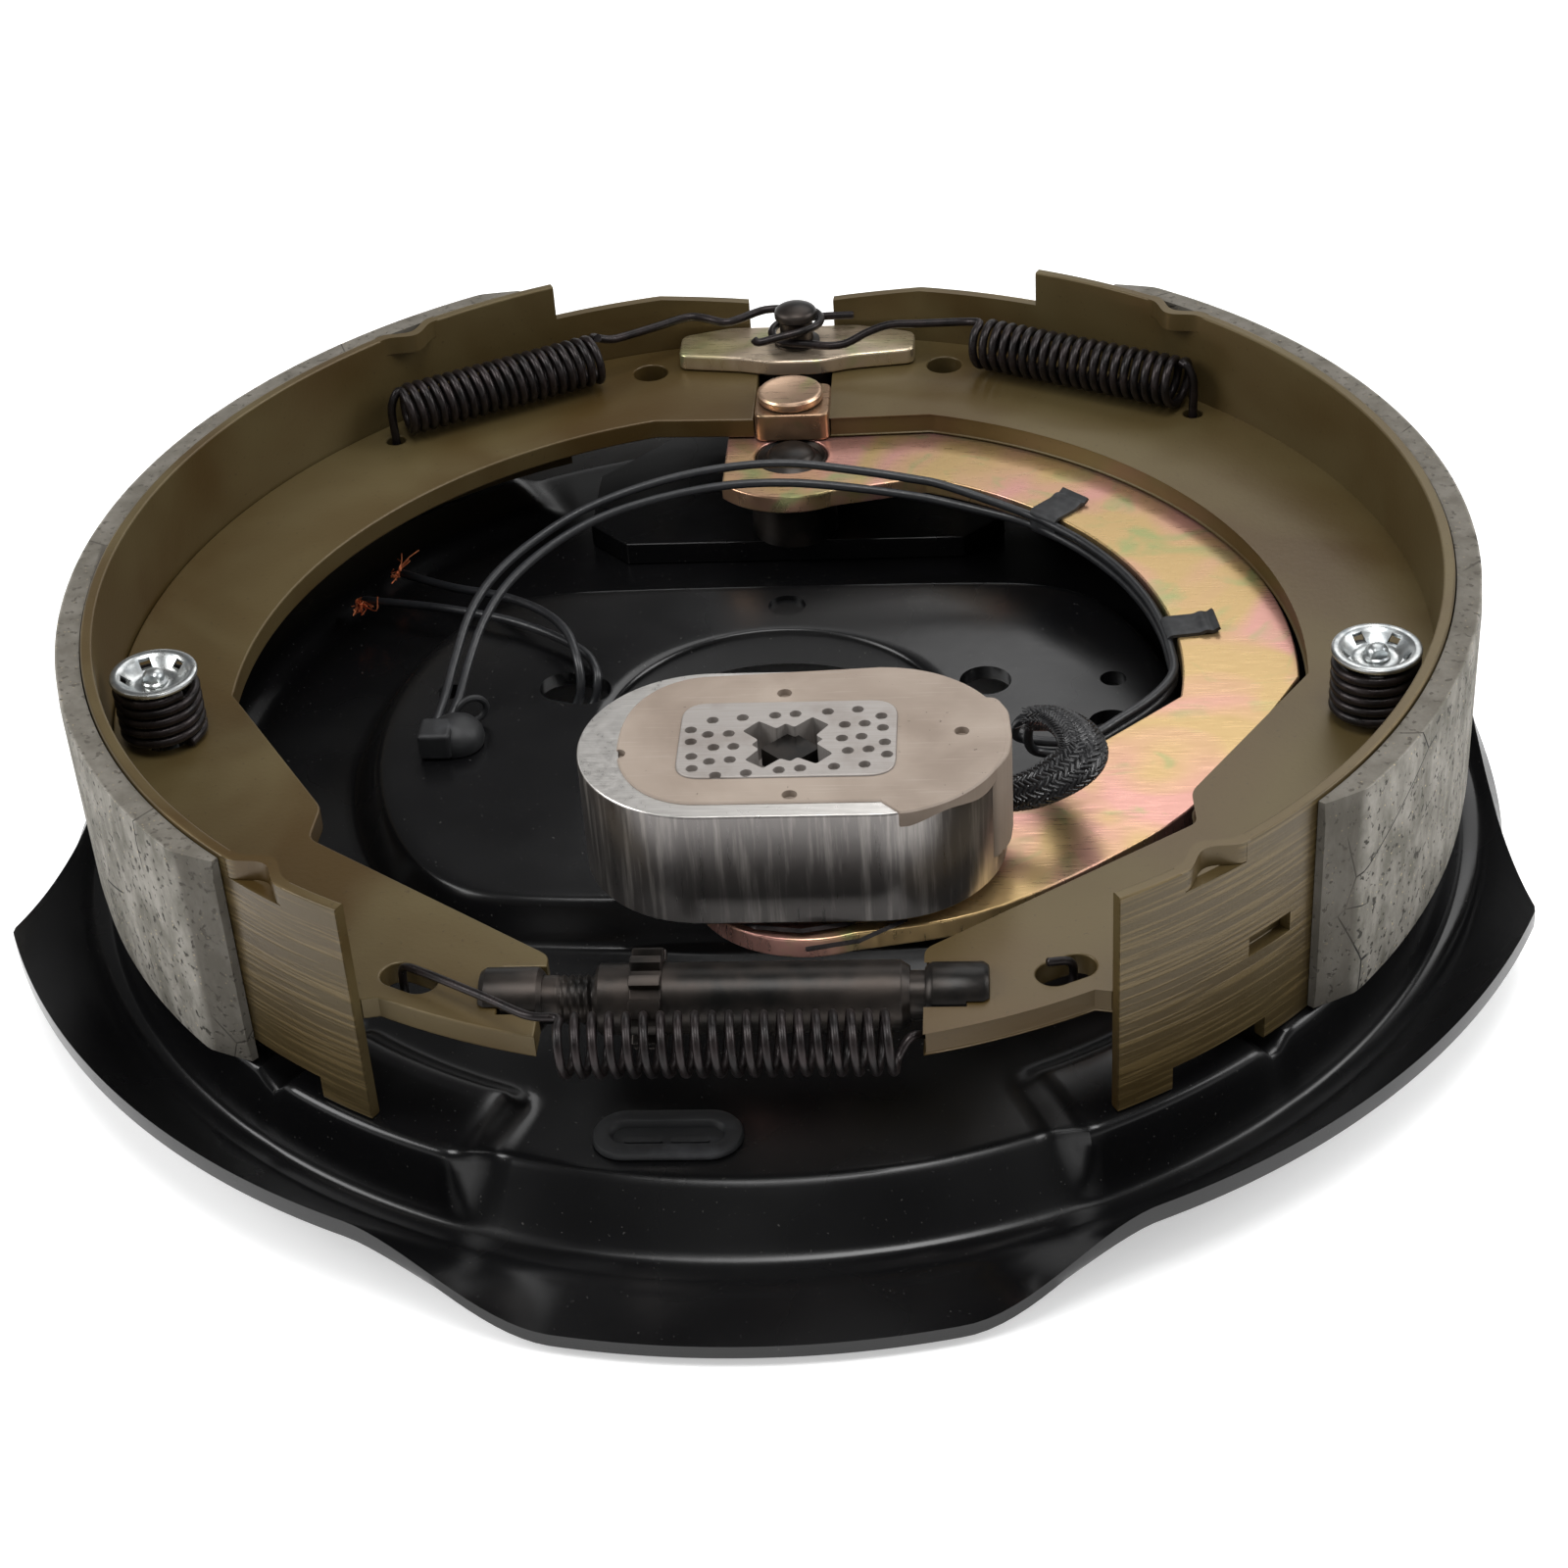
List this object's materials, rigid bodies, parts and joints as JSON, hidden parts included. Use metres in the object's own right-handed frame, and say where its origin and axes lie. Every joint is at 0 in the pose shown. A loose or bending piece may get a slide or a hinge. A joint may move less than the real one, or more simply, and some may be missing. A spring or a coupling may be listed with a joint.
{
  "type": "electric_trailer_brake_assembly",
  "caption": "Electric trailer drum brake on its pressed backing plate: two lined shoes, magnet on a swinging lever, star-wheel adjuster, springs and leads.",
  "frame": {"origin": "On the wheel axis, at the lowest plane of the backing plate, with the assembly lying on its back.", "axes": "+Z points out of the brake towards the drum, +Y points from the adjuster to the anchor pin, and +X points from the long-lined shoe to the short-lined one."},
  "size_m": [0.3218, 0.3492, 0.0701],
  "materials": {
    "black_paint": "gloss",
    "gold_lacquer": "satin",
    "lining": "matte",
    "yellow_zinc": "satin",
    "bright_zinc": "satin",
    "dark_steel": "satin",
    "resin": "matte",
    "rubber": "matte",
    "lead_jacket": "satin",
    "braid": "matte",
    "copper": "satin"
  },
  "bodies": {
    "plate": {"backing_plate": "black_paint", "slot_plug": "rubber", "anchor_reinforcement": "black_paint", "anchor_pin": "dark_steel", "guide_plate": "yellow_zinc", "pivot_stud": "dark_steel", "adjuster_end_cap": "dark_steel", "adjuster_spring": "dark_steel", "right_hold_down_spring": "dark_steel", "right_hold_down_cup": "bright_zinc", "right_hold_down_pin": "bright_zinc", "left_hold_down_spring": "dark_steel", "left_hold_down_cup": "bright_zinc", "left_hold_down_pin": "bright_zinc", "lead_block": "rubber", "plate_lead_a": "lead_jacket", "plate_lead_b": "lead_jacket", "tail_lead_a": "lead_jacket", "tail_lead_b": "lead_jacket", "tail_strands_a": "copper", "tail_strands_b": "copper"},
    "lever": {"lever_arm": "yellow_zinc", "cam_block": "yellow_zinc", "cam_rivet": "yellow_zinc", "upper_clip": "rubber", "lower_clip": "rubber", "magnet_stud": "dark_steel", "magnet_spring": "dark_steel", "arm_lead_a": "lead_jacket", "arm_lead_b": "lead_jacket"},
    "magnet": {"magnet_shell": "bright_zinc", "magnet_resin": "resin", "magnet_core": "bright_zinc", "braided_sleeve": "braid"},
    "right_shoe": {"right_web": "gold_lacquer", "right_table": "gold_lacquer", "right_lining": "lining", "right_return_spring": "dark_steel"},
    "left_shoe": {"left_web": "gold_lacquer", "left_table": "gold_lacquer", "left_lining": "lining", "left_return_spring": "dark_steel"},
    "star": {"star_sleeve": "dark_steel"},
    "screw": {"adjuster_screw": "dark_steel"}
  },
  "joints": [
    {"name": "arm_swing", "type": "hinge", "parent": "plate", "child": "lever", "pos_m": [0, 0.0915, 0.0388], "axis": [0, 0, -1], "range_deg": [0, 5]},
    {"name": "magnet_float", "type": "slide", "parent": "lever", "child": "magnet", "axis": [0, 0, -1], "range_m": [0, 0.0018], "stiffness_N_per_m": 800, "springref_m": -0.02, "deforming": ["magnet_spring"]},
    {"name": "right_shoe_swing", "type": "hinge", "parent": "plate", "child": "right_shoe", "pos_m": [0.044, -0.123, 0.0441], "axis": [0, 0, -1], "range_deg": [0, 0.5]},
    {"name": "left_shoe_swing", "type": "hinge", "parent": "plate", "child": "left_shoe", "pos_m": [0, 0.133, 0.0441], "axis": [0, 0, -1], "range_deg": [0, 0.68]},
    {"name": "star_turn", "type": "hinge", "parent": "plate", "child": "star", "pos_m": [0, -0.123, 0.0441], "axis": [1, 0, 0], "range_deg": [0, 733]},
    {"name": "screw_slide", "type": "slide", "parent": "plate", "child": "screw", "axis": [-1, 0, 0], "range_m": [0, 0.00305]}
  ],
  "couplings": [
    {"joint": "right_shoe_swing", "follows": "arm_swing", "ratio": 0.0999},
    {"joint": "star_turn", "follows": "left_shoe_swing", "ratio": 1058.8},
    {"joint": "screw_slide", "follows": "left_shoe_swing", "m_per_rad": 0.25278}
  ]
}
